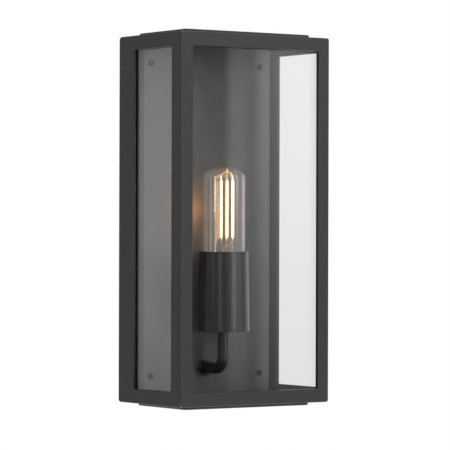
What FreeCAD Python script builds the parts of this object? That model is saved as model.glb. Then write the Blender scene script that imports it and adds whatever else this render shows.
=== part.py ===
"""Outdoor wall lantern: a black glazed box with a hinged glass front and one tubular filament bulb.

Frame: millimetres, +Z up, the wall plane is Y = 0, the front faces -Y and X runs to the right.
The origin is the centre of the wall plate's rear face.
"""

import FreeCAD, Part
import math
import os

V = FreeCAD.Vector

# ---- driving dimensions -------------------------------------------------------------------------
WIDTH = 156.0
HEIGHT = 320.0
DEPTH = 100.0
BAR = 12.0                      # visible width of the front frame's bars
SHEET = 1.5                     # housing and tray sheet
DOOR_T = 3.5                    # thickness of the hinged front frame
DOOR_GAP = 0.3                  # shut gap between the front frame and the housing
CORNER_R = 3.0                  # outer corners of the front frame and the side frames
EDGE_R = 0.9                    # rounded front edge of the front frame
BREAK_R = 0.5                   # softened edges of sheet and openings
REAR_STILE = 24.4               # rear bar of a side frame
FRONT_STILE = 15.4              # front bar of a side frame, counted from the front face
SIDE_RAIL = 12.4                # top and bottom bars of a side frame
COVER_INSET = 12.0              # raised top and bottom covers
COVER_RISE = 3.0
COVER_R = 4.0
GLASS_T = 3.0
BEAD = 0.5                      # silicone between the front pane and its frame
SIDE_BEAD = 1.0                 # silicone between a side pane and its frame
BEAD_INSET = 0.5                # beads stop a little short of a pane's edge
BEAD_W = 3.0
SIDE_LAP = 4.0                  # bead behind a side frame, past its window
TRAY_W = 140.0
TRAY_H = 310.0
TRAY_FACE = 21.0                # tray's front face, forward of the wall
TRAY_R = 2.0
GASKET_T = 1.5
FLANGE_W = 4.0                  # housing's front flange behind the shut front frame
PLATE_W = 128.0
PLATE_H = 286.0
PLATE_T = 2.0
PLATE_R = 6.0
SLOT_X = 90.0                   # wall screw slots, centre to centre
SLOT_Z = 200.0
SLOT_R = 2.75
SLOT_LENGTH = 11.0
CABLE_Z = 40.0
CABLE_R = 4.5
GROMMET_R = 8.0                 # hole in the wall plate for the grommet
GROMMET_LIP_R = 10.5
STANDOFF_R = 4.0
TRAY_SCREW_X = 58.0
TRAY_SCREW_Z = 137.3
LAMP_Y = -49.5                  # vertical axis of the holder and the bulb
COVER_TOP = -28.0               # holder cover's rim
COVER_BOTTOM = -98.2
COVER_TOP_R = 21.75
COVER_BOTTOM_R = 23.0
ARM_Z = -131.0                  # horizontal run of the arm
ARM_R = 5.0
ARM_BEND = 12.0
BULB_R = 19.0
BULB_TOP = 47.0
BULB_BOTTOM = -68.0
BULB_WALL = 0.9
FILAMENT_LOW = -18.0
FILAMENT_HIGH = 37.0
FILAMENT_RING = 5.1
FILAMENT_R = 1.0
STEM_R = 3.0
CAGE_X = 2.4                    # the filaments stand a little off the bulb's axis
CAGE_Y = LAMP_Y - 1.6
CAGE_TURN = -34.0               # degrees
HINGE_Z = 110.0
HINGE_LENGTH = 30.0
KNUCKLE_LENGTH = 10.0
KNUCKLE_R = 1.25
HINGE_CLEAR = 0.1
LEAF_T = 1.0
LEAF_BACK = -89.4
BARREL_R = DOOR_T / 2           # round edge of the front frame about the hinge axis
PIN_R = 0.6
CATCH_Z = 140.0
MAGNET_W = 3.2
MAGNET_LENGTH = 12.0
TERMINAL_Z = -96.0              # terminal block and earth screw
TERMINAL_X = 19.0
TERMINAL_PITCH = 12.0
CLAMP_RISE = 4.0                # clamp screws, above and below the middle
EARTH_X = 40.0
M3_R = 1.5                      # M3 screws, their tapped holes and clearance holes
M3_TAP_R = 1.55
M3_HOLE_R = 1.7
COVER_SCREW_X = 55.0
COVER_SCREW_Y = (-77.0, -35.0)
CUP_WALL = 1.5
CUP_FLOOR = 2.0
ARM_HOLE_R = ARM_R + 0.1        # holes that the arm goes through
ARM_NUT_AF = 14.0               # across flats
LEAD_X = 1.7
LEAD_R = 1.0
LEAD_Y = -8.0                   # where the leads rise behind the tray
CAP_PITCH = 3.6

# ---- worked out from them -----------------------------------------------------------------------
HW = WIDTH / 2
HH = HEIGHT / 2
REAR = -0.5                     # rear edge of the housing, just clear of the wall
DOOR_BACK = -DEPTH + DOOR_T
HOUSING_FRONT = DOOR_BACK + DOOR_GAP
IN_X = HW - SHEET               # inner faces of the housing
IN_Z = HH - SHEET
HINGE_X = HW - BARREL_R - 0.05
HINGE_Y = -DEPTH + BARREL_R
FLANGE_FRONT = HOUSING_FRONT + GASKET_T
GLASS_X = HW - BAR + 5.0        # front pane's half width and half height
GLASS_Z = HH - BAR + 5.0
TRAY_BACK = -2 * GASKET_T
SIDE_PANE_FRONT = FLANGE_FRONT + SHEET + 1.0
SIDE_PANE_BACK = TRAY_BACK - 1.0    # the side panes fill the gap beside the tray
SIDE_PANE_Z = IN_Z - 0.5
RING_Z = HH - CORNER_R          # rear flange and gasket reach up to the panels' bends
STEM_TOP = FILAMENT_LOW - 5.0
CAP_LOW = BULB_BOTTOM + 4.0
CAP_HIGH = CAP_LOW + 23.0
CAP_R = 13.1
SOCKET_R = 18.5
SOCKET_LOW = COVER_BOTTOM + 4.2
SOCKET_HIGH = -44.0
SOCKET_FLOOR = BULB_BOTTOM - 5.0
SLEEVE_R = 14.4


# ---- shared shapes ------------------------------------------------------------------------------
def block(x0, x1, y0, y1, z0, z1):
    """Box between two corners."""
    return Part.makeBox(x1 - x0, y1 - y0, z1 - z0, V(x0, y0, z0))


def rod(x, y, z, r, length, along):
    """Cylinder from a point along a direction."""
    return Part.makeCylinder(r, length, V(x, y, z), along)


def straight_edges(shape, axis):
    """Straight edges of a shape that run along one axis."""
    found = []
    for edge in shape.Edges:
        if edge.Curve.TypeId == "Part::GeomLine":
            run = edge.Vertexes[1].Point - edge.Vertexes[0].Point
            if abs(abs(run.dot(axis)) - run.Length) < 1e-6:
                found.append(edge)
    return found


def edges_at(shape, test):
    """Edges whose middle passes a test."""
    found = []
    for edge in shape.Edges:
        middle = edge.valueAt((edge.FirstParameter + edge.LastParameter) / 2)
        if test(middle):
            found.append(edge)
    return found


def plate_y(half_x, half_z, y0, y1, r):
    """Flat plate across Y, centred on the axis, with rounded corners."""
    plate = block(-half_x, half_x, y0, y1, -half_z, half_z)
    return plate.makeFillet(r, straight_edges(plate, V(0, 1, 0)))


def ring_y(outer_x, outer_z, inner_x, inner_z, y0, y1):
    """Flat rectangular ring across Y."""
    outer = block(-outer_x, outer_x, y0, y1, -outer_z, outer_z)
    inner = block(-inner_x, inner_x, y0 - 1, y1 + 1, -inner_z, inner_z)
    return outer.cut(inner)


def turned(points, x, y):
    """Solid of revolution about a vertical axis; points are (radius, z) or an arc's middle point."""
    edges = []
    here = points[0]
    for step in points[1:] + [points[0]]:
        start = V(here[0], 0, here[1])
        end = V(step[0], 0, step[1])
        if len(step) == 4:
            middle = V(step[2], 0, step[3])
            edges.append(Part.Arc(start, middle, end).toShape())
        elif (end - start).Length > 1e-9:
            edges.append(Part.LineSegment(start, end).toShape())
        here = step
    face = Part.Face(Part.Wire(edges))
    solid = face.revolve(V(0, 0, 0), V(0, 0, 1), 360)
    solid.translate(V(x, y, 0))
    return solid


def on_circle(cx, cz, r, degrees):
    """Point of a circle in a profile."""
    turn = math.radians(degrees)
    return (cx + r * math.cos(turn), cz + r * math.sin(turn))


def hexagon(x, y, z, across_flats, length, along):
    """Hexagonal prism from a point along a direction, which is Y or Z."""
    radius = across_flats / math.sqrt(3)
    corners = []
    for index in range(7):
        turn = math.radians(60 * index)
        a = radius * math.cos(turn)
        b = radius * math.sin(turn)
        corners.append(V(x + a, y, z + b) if along.y else V(x + a, y + b, z))
    return Part.Face(Part.makePolygon(corners)).extrude(along * length)


def bent_rod(x, r, bend, y0, z_top, z_run, y_end):
    """Round bar in one plane: down from z_top, a quarter bend, then back along +Y to y_end."""
    down = rod(x, y0, z_run + bend, r, z_top - z_run - bend, V(0, 0, 1))
    back = rod(x, y0 + bend, z_run, r, y_end - y0 - bend, V(0, 1, 0))
    disc = Part.Face(Part.Wire(Part.makeCircle(r, V(x, y0, z_run + bend), V(0, 0, 1))))
    turn = disc.revolve(V(x, y0 + bend, z_run + bend), V(1, 0, 0), 90)
    return down.fuse([turn, back]).removeSplitter()


def group(solids):
    """Several separate solids kept together in one sub-part."""
    return Part.makeCompound(solids)


def corners(half_x, half_z):
    """The four points at plus and minus half_x and half_z."""
    return [(sx * half_x, sz * half_z) for sx in (-1, 1) for sz in (-1, 1)]


# ---- wall side ----------------------------------------------------------------------------------
def wall_plate():
    """Steel plate against the wall, with four wall-screw slots and the cable hole."""
    plate = plate_y(PLATE_W / 2, PLATE_H / 2, -PLATE_T, 0, PLATE_R)
    plate = plate.cut(rod(0, -PLATE_T - 1, CABLE_Z, GROMMET_R, PLATE_T + 2, V(0, 1, 0)))
    reach = SLOT_LENGTH / 2 - SLOT_R
    for x, z in corners(SLOT_X / 2, SLOT_Z / 2):
        slot = block(x - reach, x + reach, -PLATE_T - 1, 1, z - SLOT_R, z + SLOT_R)
        for side in (-reach, reach):
            slot = slot.fuse(rod(x + side, -PLATE_T - 1, z, SLOT_R, PLATE_T + 2, V(0, 1, 0)))
        plate = plate.cut(slot)
    return plate


def cable_grommet():
    """Rubber grommet in the wall plate's cable hole, with a lip on its front side."""
    body = rod(0, -PLATE_T, CABLE_Z, GROMMET_R - 0.05, PLATE_T, V(0, 1, 0))
    lip = rod(0, -PLATE_T - 2, CABLE_Z, GROMMET_LIP_R, 2.0, V(0, 1, 0))
    lip = lip.makeFillet(0.8, edges_at(lip, lambda p: p.y < -PLATE_T - 1.9))
    return body.fuse(lip).cut(rod(0, -PLATE_T - 3, CABLE_Z, CABLE_R, 6, V(0, 1, 0)))


def plate_standoffs():
    """Four tapped standoffs between the wall plate and the tray's face."""
    length = TRAY_FACE - SHEET - PLATE_T
    solids = []
    for x, z in corners(TRAY_SCREW_X, TRAY_SCREW_Z):
        post = rod(x, -PLATE_T - length, z, STANDOFF_R, length, V(0, 1, 0))
        solids.append(post.cut(rod(x, -PLATE_T - length - 1, z, M3_TAP_R, 13, V(0, 1, 0))))
    return group(solids)


def tray_screws():
    """Four button-head socket screws that hold the tray and housing to the wall plate."""
    solids = []
    for x, z in corners(TRAY_SCREW_X, TRAY_SCREW_Z):
        head = rod(x, -TRAY_FACE - 1.7, z, 2.7, 1.7, V(0, 1, 0))
        head = head.makeFillet(1.2, edges_at(head, lambda p: p.y < -TRAY_FACE - 1.6))
        screw = head.fuse(rod(x, -TRAY_FACE, z, M3_R, 11, V(0, 1, 0)))
        solids.append(screw.cut(hexagon(x, -TRAY_FACE - 2, z, 2.0, 1.3, V(0, 1, 0))))
    return group(solids)


def clamp_places():
    """Where the terminal block's six clamp screws stand."""
    return [(x, TERMINAL_Z + s * CLAMP_RISE)
            for x in (-TERMINAL_PITCH, 0, TERMINAL_PITCH) for s in (-1, 1)]


def terminal_block():
    """Three-pole plastic terminal block on the wall plate."""
    half = 2 * CLAMP_RISE
    base = block(-TERMINAL_X, TERMINAL_X, -13, -PLATE_T, TERMINAL_Z - half, TERMINAL_Z + half)
    base = base.makeFillet(1.0, straight_edges(base, V(0, 1, 0)))
    for x, z in clamp_places():
        base = base.fuse(rod(x, -15, z, 3.2, 4, V(0, 1, 0)))
        base = base.cut(rod(x, -16, z, 1.9, 6, V(0, 1, 0)))
    return base


def terminal_screws():
    """Six slotted clamp screws in the terminal block."""
    solids = []
    for x, z in clamp_places():
        screw = rod(x, -13.5, z, 1.8, 3.4, V(0, 1, 0))
        solids.append(screw.cut(block(x - 2, x + 2, -14, -13, z - 0.25, z + 0.25)))
    return group(solids)


def earth_screw():
    """Earth terminal screw with its square washer, on the wall plate."""
    low_x = EARTH_X - 4
    high_x = EARTH_X + 4
    washer = block(low_x, high_x, -PLATE_T - 1, -PLATE_T, TERMINAL_Z - 4, TERMINAL_Z + 4)
    head = rod(EARTH_X, -PLATE_T - 3.4, TERMINAL_Z, 3.5, 2.4, V(0, 1, 0))
    head = head.makeFillet(0.6, edges_at(head, lambda p: p.y < -PLATE_T - 3.3))
    slot = block(low_x, high_x, -PLATE_T - 4, -PLATE_T - 2.4, TERMINAL_Z - 0.5, TERMINAL_Z + 0.5)
    return head.fuse(washer).cut(slot)


# ---- housing ------------------------------------------------------------------------------------
def back_tray():
    """Deep tray that closes the back of the lantern and carries the arm."""
    half_x = TRAY_W / 2
    half_z = TRAY_H / 2
    tray = block(-half_x, half_x, -TRAY_FACE, TRAY_BACK, -half_z, half_z)
    tray = tray.makeFillet(TRAY_R, straight_edges(tray, V(0, 1, 0)))
    tray = tray.makeFillet(TRAY_R, edges_at(tray, lambda p: p.y < -TRAY_FACE + 0.01))
    hollow = block(-half_x + SHEET, half_x - SHEET, -TRAY_FACE + SHEET, 1,
                   -half_z + SHEET, half_z - SHEET)
    tray = tray.cut(hollow.makeFillet(0.6, straight_edges(hollow, V(0, 1, 0))))
    for x, z in corners(TRAY_SCREW_X, TRAY_SCREW_Z):
        tray = tray.cut(rod(x, -TRAY_FACE - 1, z, M3_HOLE_R, 4, V(0, 1, 0)))
    return tray.cut(rod(0, -TRAY_FACE - 1, ARM_Z, ARM_HOLE_R, 4, V(0, 1, 0)))


def rear_flange():
    """Ring that joins the tray's rim to the housing walls."""
    return ring_y(IN_X, RING_Z, TRAY_W / 2 - SHEET, TRAY_H / 2 - SHEET, TRAY_BACK, -GASKET_T)


def wall_gasket():
    """Closed-cell foam ring between the housing and the wall."""
    return ring_y(IN_X - 0.5, RING_Z - 0.5, TRAY_W / 2 - 1, TRAY_H / 2 - 1, -GASKET_T, 0)


def side_frame(side):
    """Sheet side wall with its window opening; side is -1 for left and 1 for right."""
    wall = block(IN_X, HW, HOUSING_FRONT, REAR, -HH, HH)
    rear = edges_at(wall, lambda p: abs(p.x - HW + SHEET / 2) < 0.01 and p.y > REAR - 0.01)
    wall = wall.makeFillet(CORNER_R, rear)
    rail = HH - SIDE_RAIL
    window = block(IN_X - 1, HW + 1, -DEPTH + FRONT_STILE, -REAR_STILE, -rail, rail)
    wall = wall.cut(window)
    outer = edges_at(wall, lambda p: p.x > HW - 0.01)
    wall = wall.makeFillet(BREAK_R, outer)
    return wall if side > 0 else wall.mirror(V(0, 0, 0), V(1, 0, 0))


def end_panel(side):
    """Top or bottom sheet between the side walls, bent down at the rear; side is 1 for top."""
    bend_y = REAR - CORNER_R
    panel = block(-IN_X, IN_X, HOUSING_FRONT, bend_y, IN_Z, HH)
    panel = panel.makeFillet(BREAK_R, edges_at(panel, lambda p: p.y < HOUSING_FRONT + 0.01
                                               and p.z > HH - 0.01))
    bend = rod(-IN_X, bend_y, RING_Z, CORNER_R, 2 * IN_X, V(1, 0, 0))
    bend = bend.cut(rod(-IN_X - 1, bend_y, RING_Z, CORNER_R - SHEET, 2 * IN_X + 2, V(1, 0, 0)))
    bend = bend.common(block(-IN_X, IN_X, bend_y, REAR, RING_Z, HH))
    panel = panel.fuse(bend).removeSplitter()
    for x, y in end_screw_places():
        panel = panel.cut(rod(x, y, IN_Z - 1, M3_HOLE_R, 4, V(0, 0, 1)))
    return panel if side > 0 else panel.mirror(V(0, 0, 0), V(0, 0, 1))


def end_screw_places():
    """Where the four screws of a raised cover stand."""
    return [(sx * COVER_SCREW_X, y) for sx in (-1, 1) for y in COVER_SCREW_Y]


def end_cover(side):
    """Raised cover on the top or bottom panel, pressed from sheet, with a tapped boss for each screw."""
    low_x = HW - COVER_INSET
    cover = block(-low_x, low_x, -DEPTH + COVER_INSET, -COVER_INSET, HH, HH + COVER_RISE)
    cover = cover.makeFillet(COVER_R, straight_edges(cover, V(0, 0, 1)))
    cover = cover.makeFillet(1.0, edges_at(cover, lambda p: p.z > HH + COVER_RISE - 0.01))
    hollow = block(-low_x + SHEET, low_x - SHEET, -DEPTH + COVER_INSET + SHEET,
                   -COVER_INSET - SHEET, HH - 1, HH + COVER_RISE - SHEET)
    for x, y in end_screw_places():
        hollow = hollow.cut(rod(x, y, HH - 1, 4.0, COVER_RISE, V(0, 0, 1)))
        hollow = hollow.fuse(rod(x, y, HH - 1, M3_TAP_R, 3.2, V(0, 0, 1)))
    cover = cover.cut(hollow)
    return cover if side > 0 else cover.mirror(V(0, 0, 0), V(0, 0, 1))


def end_screws(side):
    """Four pan-head screws that hold a raised cover from inside the housing."""
    solids = []
    for x, y in end_screw_places():
        head = rod(x, y, IN_Z - 1.6, 2.6, 1.6, V(0, 0, 1))
        head = head.makeFillet(0.7, edges_at(head, lambda p: p.z < IN_Z - 1.5))
        solids.append(head.fuse(rod(x, y, IN_Z, M3_R, 3.4, V(0, 0, 1))))
    screws = group(solids)
    return screws if side > 0 else screws.mirror(V(0, 0, 0), V(0, 0, 1))


def hinge_windows():
    """Room for the hinges in the housing's flange and gasket."""
    half = HINGE_LENGTH / 2 + 0.4
    low = IN_X - LEAF_T - 0.5
    return group([block(low, HW, -DEPTH, LEAF_BACK, s * HINGE_Z - half, s * HINGE_Z + half)
                  for s in (-1, 1)])


def catch_windows():
    """Room for the magnets in the housing's flange and gasket."""
    half = MAGNET_LENGTH / 2 + 0.5
    return group([block(-HW, -IN_X + MAGNET_W + 1, -DEPTH, LEAF_BACK,
                        s * CATCH_Z - half, s * CATCH_Z + half) for s in (-1, 1)])


def front_flange():
    """Narrow inward flange at the housing's mouth, which the shut front frame backs on to."""
    ring = ring_y(IN_X, IN_Z, IN_X - FLANGE_W, IN_Z - FLANGE_W, FLANGE_FRONT, FLANGE_FRONT + SHEET)
    return ring.cut(hinge_windows()).cut(catch_windows())


def door_gasket():
    """Foam sealing strip on the front flange."""
    ring = ring_y(IN_X - 0.4, IN_Z - 0.4, IN_X - FLANGE_W + 0.4, IN_Z - FLANGE_W + 0.4,
                  HOUSING_FRONT, FLANGE_FRONT)
    return ring.cut(hinge_windows()).cut(catch_windows())


def catch_magnets():
    """Two bar magnets that hold the front frame shut."""
    half = MAGNET_LENGTH / 2
    return group([block(-IN_X, -IN_X + MAGNET_W, HOUSING_FRONT + 0.7, HOUSING_FRONT + 3.7,
                        s * CATCH_Z - half, s * CATCH_Z + half) for s in (-1, 1)])


def side_glass(side):
    """Clear pane inside a side wall, from the front flange back into the gap beside the tray."""
    outer = IN_X - SIDE_BEAD
    pane = block(outer - GLASS_T, outer, SIDE_PANE_FRONT, SIDE_PANE_BACK, -SIDE_PANE_Z, SIDE_PANE_Z)
    return pane if side > 0 else pane.mirror(V(0, 0, 0), V(1, 0, 0))


def side_glass_seal(side):
    """Silicone bead between a side pane and its frame."""
    low = -DEPTH + FRONT_STILE - SIDE_LAP + BEAD_INSET
    high = -REAR_STILE + SIDE_LAP - BEAD_INSET
    half_z = HH - SIDE_RAIL + SIDE_LAP - BEAD_INSET
    bead = block(IN_X - SIDE_BEAD, IN_X, low, high, -half_z, half_z)
    bead = bead.cut(block(IN_X - 2, IN_X + 1, low + BEAD_W, high - BEAD_W,
                          -half_z + BEAD_W, half_z - BEAD_W))
    return bead if side > 0 else bead.mirror(V(0, 0, 0), V(1, 0, 0))


# ---- hinges -------------------------------------------------------------------------------------
def hinge_frame_leaves():
    """Fixed leaves on the housing's right wall, each with a knuckle let into the front frame."""
    solids = []
    for s in (-1, 1):
        low = s * HINGE_Z - KNUCKLE_LENGTH / 2
        knuckle = rod(HINGE_X, HINGE_Y, low, KNUCKLE_R, KNUCKLE_LENGTH, V(0, 0, 1))
        web = block(IN_X - LEAF_T, IN_X, HINGE_Y, HOUSING_FRONT, low, low + KNUCKLE_LENGTH)
        leaf = block(IN_X - LEAF_T, IN_X, HOUSING_FRONT, LEAF_BACK,
                     s * HINGE_Z - HINGE_LENGTH / 2, s * HINGE_Z + HINGE_LENGTH / 2)
        bore = rod(HINGE_X, HINGE_Y, low - 1, PIN_R, KNUCKLE_LENGTH + 2, V(0, 0, 1))
        solids.append(knuckle.fuse([web, leaf]).removeSplitter().cut(bore))
    return group(solids)


def hinge_pins():
    """Hinge pins, fixed in the knuckles; the front frame turns on their ends."""
    return group([rod(HINGE_X, HINGE_Y, s * HINGE_Z - HINGE_LENGTH / 2, PIN_R, HINGE_LENGTH,
                      V(0, 0, 1)) for s in (-1, 1)])


def hinge_room(side):
    """What the front frame leaves free for a knuckle, its web's swing and its pin."""
    low = side * HINGE_Z - KNUCKLE_LENGTH / 2 - HINGE_CLEAR
    length = KNUCKLE_LENGTH + 2 * HINGE_CLEAR
    room = rod(HINGE_X, HINGE_Y, low, KNUCKLE_R + HINGE_CLEAR, length, V(0, 0, 1))
    swing = block(IN_X - LEAF_T - 0.15, HW + 1, HINGE_Y - 1.1, DOOR_BACK + 1, low, low + length)
    bore = rod(HINGE_X, HINGE_Y, side * HINGE_Z - HINGE_LENGTH / 2 - HINGE_CLEAR,
               PIN_R + 0.05, HINGE_LENGTH + 2 * HINGE_CLEAR, V(0, 0, 1))
    return room.fuse([swing, bore])


# ---- hinged front -------------------------------------------------------------------------------
def door_frame():
    """Front frame: four bars in one piece, round on the hinge side so that it turns freely."""
    blank = plate_y(HW, HH, -DEPTH, DOOR_BACK, CORNER_R)
    blank = blank.makeFillet(EDGE_R, edges_at(blank, lambda p: p.y < -DEPTH + 0.01))
    swing = block(-HW - 1, HINGE_X, -DEPTH - 1, DOOR_BACK + 1, -HH - 1, HH + 1)
    swing = swing.fuse(rod(HINGE_X, HINGE_Y, -HH - 1, BARREL_R, HEIGHT + 2, V(0, 0, 1)))
    frame = blank.common(swing)
    opening = block(-HW + BAR, HW - BAR, -DEPTH - 1, 0, -HH + BAR, HH - BAR)
    frame = frame.cut(opening)
    lip = edges_at(frame, lambda p: p.y < -DEPTH + 0.01 and abs(p.x) < HW - BAR + 0.01
                   and abs(p.z) < HH - BAR + 0.01)
    frame = frame.makeFillet(BREAK_R, lip)
    return frame.cut([hinge_room(-1), hinge_room(1)])


def door_glass():
    """Clear front pane behind the front frame."""
    return block(-GLASS_X, GLASS_X, DOOR_BACK + BEAD, DOOR_BACK + BEAD + GLASS_T,
                 -GLASS_Z, GLASS_Z)


def door_glass_seal():
    """Silicone bead that bonds the front pane to the front frame."""
    return ring_y(GLASS_X - BEAD_INSET, GLASS_Z - BEAD_INSET, HW - BAR + 1, HH - BAR + 1,
                  DOOR_BACK, DOOR_BACK + BEAD)


def catch_plates():
    """Steel plates on the back of the front frame that the magnets pull."""
    half = MAGNET_LENGTH / 2 - 0.5
    return group([block(-IN_X + 0.6, -IN_X + MAGNET_W, DOOR_BACK, DOOR_BACK + 0.8,
                        s * CATCH_Z - half, s * CATCH_Z + half) for s in (-1, 1)])


# ---- arm and lampholder -------------------------------------------------------------------------
def arm_tube():
    """Bent tube that carries the holder and the leads."""
    top = COVER_BOTTOM + 10
    outer = bent_rod(0, ARM_R, ARM_BEND, LAMP_Y, top, ARM_Z, -10)
    return outer.cut(bent_rod(0, ARM_R - 1, ARM_BEND, LAMP_Y, top + 1, ARM_Z, -9))


def arm_nuts():
    """Slim collar nut in front of the tray's face and hexagon nut behind it."""
    front = rod(0, -TRAY_FACE - 2.5, ARM_Z, 7.0, 2.5, V(0, 1, 0))
    front = front.makeFillet(0.6, edges_at(front, lambda p: p.y < -TRAY_FACE - 2.4))
    back = hexagon(0, -TRAY_FACE + SHEET + 1, ARM_Z, ARM_NUT_AF, 3.0, V(0, 1, 0))
    hole = rod(0, -TRAY_FACE - 3, ARM_Z, ARM_R + 0.05, 9, V(0, 1, 0))
    return group([front.cut(hole), back.cut(hole)])


def arm_washer():
    """Washer under the arm's rear nut."""
    washer = rod(0, -TRAY_FACE + SHEET, ARM_Z, 9.0, 1.0, V(0, 1, 0))
    return washer.cut(rod(0, -TRAY_FACE, ARM_Z, ARM_HOLE_R, 4, V(0, 1, 0)))


def holder_cover():
    """Slightly tapered metal cup round the lampholder."""
    floor = COVER_BOTTOM + CUP_FLOOR
    profile = [(ARM_HOLE_R, COVER_BOTTOM),
               (COVER_BOTTOM_R - 1.0, COVER_BOTTOM),
               (COVER_BOTTOM_R, COVER_BOTTOM + 1.0) + on_circle(
                   COVER_BOTTOM_R - 1.0, COVER_BOTTOM + 1.0, 1.0, -45),
               (COVER_TOP_R, COVER_TOP - 0.5),
               (COVER_TOP_R - 0.5, COVER_TOP) + on_circle(
                   COVER_TOP_R - 0.5, COVER_TOP - 0.5, 0.5, 45),
               (COVER_TOP_R - CUP_WALL, COVER_TOP),
               (COVER_BOTTOM_R - CUP_WALL, floor),
               (ARM_HOLE_R, floor)]
    return turned(profile, 0, LAMP_Y)


def holder_nut():
    """Nut on the arm's end that clamps the holder cover under the lampholder."""
    nut = hexagon(0, LAMP_Y, COVER_BOTTOM + CUP_FLOOR, ARM_NUT_AF, 2.0, V(0, 0, 1))
    return nut.cut(rod(0, LAMP_Y, COVER_BOTTOM, ARM_R + 0.05, 5, V(0, 0, 1)))


def lampholder_body():
    """Moulded lampholder insert."""
    body = rod(0, LAMP_Y, SOCKET_LOW, SOCKET_R, SOCKET_HIGH - SOCKET_LOW, V(0, 0, 1))
    body = body.makeFillet(1.0, edges_at(body, lambda p: True))
    well = rod(0, LAMP_Y, SOCKET_FLOOR, SLEEVE_R + 0.1, 40, V(0, 0, 1))
    under = rod(0, LAMP_Y, SOCKET_LOW - 1, ARM_HOLE_R, 13, V(0, 0, 1))
    return body.cut(well).cut(under)


def threaded_wall(r_out, wall, z0, z1, depth):
    """Profile of a thin tube whose wall bulges once a pitch, like a rolled thread."""
    turns = int((z1 - z0) / CAP_PITCH)
    root = r_out - depth
    profile = [(root, z0)]
    for turn in range(turns):
        low = z0 + turn * CAP_PITCH
        profile.append((root, low + CAP_PITCH, r_out, low + CAP_PITCH / 2))
    profile.append((root, z1))
    profile.append((root - wall, z1))
    profile.append((root - wall, z0 + turns * CAP_PITCH))
    for turn in reversed(range(turns)):
        low = z0 + turn * CAP_PITCH
        profile.append((root - wall, low, r_out - wall, low + CAP_PITCH / 2))
    return profile


def lampholder_sleeve():
    """Threaded brass sleeve of the lampholder."""
    profile = threaded_wall(SLEEVE_R, 0.5, SOCKET_FLOOR + 1, SOCKET_HIGH - 1, 0.4)
    return turned(profile, 0, LAMP_Y)


def lampholder_contact():
    """Sprung centre contact on the floor of the lampholder."""
    foot = block(-8, 8, LAMP_Y - 3, LAMP_Y + 3, SOCKET_FLOOR, SOCKET_FLOOR + 0.6)
    tongue = block(-5, 5, LAMP_Y - 3, LAMP_Y + 3, SOCKET_FLOOR + 3.9, SOCKET_FLOOR + 4.5)
    riser = block(-5.0, -4.4, LAMP_Y - 3, LAMP_Y + 3, SOCKET_FLOOR, SOCKET_FLOOR + 4.5)
    return foot.fuse([tongue, riser]).removeSplitter()


def lamp_leads():
    """Two insulated leads through the arm, from the terminal block to the lampholder."""
    solids = []
    bend_r = 6.0
    turn_y = LEAD_Y - bend_r
    block_low = TERMINAL_Z - 2 * CLAMP_RISE
    for x in (-LEAD_X, LEAD_X):
        run = bent_rod(x, LEAD_R, ARM_BEND, LAMP_Y, COVER_BOTTOM + 9, ARM_Z, turn_y)
        disc = Part.Face(Part.Wire(Part.makeCircle(LEAD_R, V(x, turn_y, ARM_Z), V(0, 1, 0))))
        bend = disc.revolve(V(x, turn_y, ARM_Z + bend_r), V(1, 0, 0), 90)
        rise = rod(x, LEAD_Y, ARM_Z + bend_r, LEAD_R, block_low - ARM_Z - bend_r, V(0, 0, 1))
        solids.append(run.fuse([bend, rise]).removeSplitter())
    return group(solids)


# ---- bulb ---------------------------------------------------------------------------------------
def bulb_glass():
    """Tubular envelope: neck, straight wall, and a crown of two tangent arcs."""
    shoulder = 9.0
    crown = 35.0
    crown_z = BULB_TOP - crown
    off = BULB_R - shoulder
    lift = math.sqrt((crown - shoulder) ** 2 - off ** 2)
    meet = math.degrees(math.atan2(lift, off))
    centre = (off, crown_z + lift)
    half_meet = meet / 2
    half_top = (meet + 90) / 2
    t = BULB_WALL
    profile = [(11.0, CAP_HIGH - 6.0),
               (11.0, CAP_HIGH + 0.4),
               (BULB_R, -28.0, 16.2, -35.2),
               (BULB_R, centre[1]),
               on_circle(*centre, shoulder, meet) + on_circle(*centre, shoulder, half_meet),
               (0, BULB_TOP) + on_circle(0, crown_z, crown, half_top),
               (0, BULB_TOP - t),
               on_circle(*centre, shoulder - t, meet) + on_circle(0, crown_z, crown - t, half_top),
               (BULB_R - t, centre[1]) + on_circle(*centre, shoulder - t, half_meet),
               (BULB_R - t, -28.4),
               (10.1, CAP_HIGH + 0.9, 15.4, -34.8),
               (10.1, CAP_HIGH - 6.0)]
    return turned(profile, 0, LAMP_Y)


def bulb_stem():
    """Flared glass stem inside the envelope."""
    profile = [(0, CAP_HIGH - 4),
               (9.0, CAP_HIGH - 4),
               (9.0, CAP_HIGH - 3),
               (STEM_R + 0.2, CAP_HIGH + 6, 4.4, CAP_HIGH),
               (STEM_R, STEM_TOP - STEM_R),
               (0, STEM_TOP) + on_circle(0, STEM_TOP - STEM_R, STEM_R, 45)]
    return turned(profile, 0, LAMP_Y)


def filament_places():
    """Where the four filaments stand, on a ring round the cage's own centre."""
    places = []
    for index in range(4):
        turn = math.radians(CAGE_TURN + 90 * index)
        places.append((CAGE_X + FILAMENT_RING * math.cos(turn),
                       CAGE_Y + FILAMENT_RING * math.sin(turn)))
    return places


def bulb_filaments():
    """Four upright filament sticks."""
    length = FILAMENT_HIGH - FILAMENT_LOW
    return group([rod(x, y, FILAMENT_LOW, FILAMENT_R, length, V(0, 0, 1))
                  for x, y in filament_places()])


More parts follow.
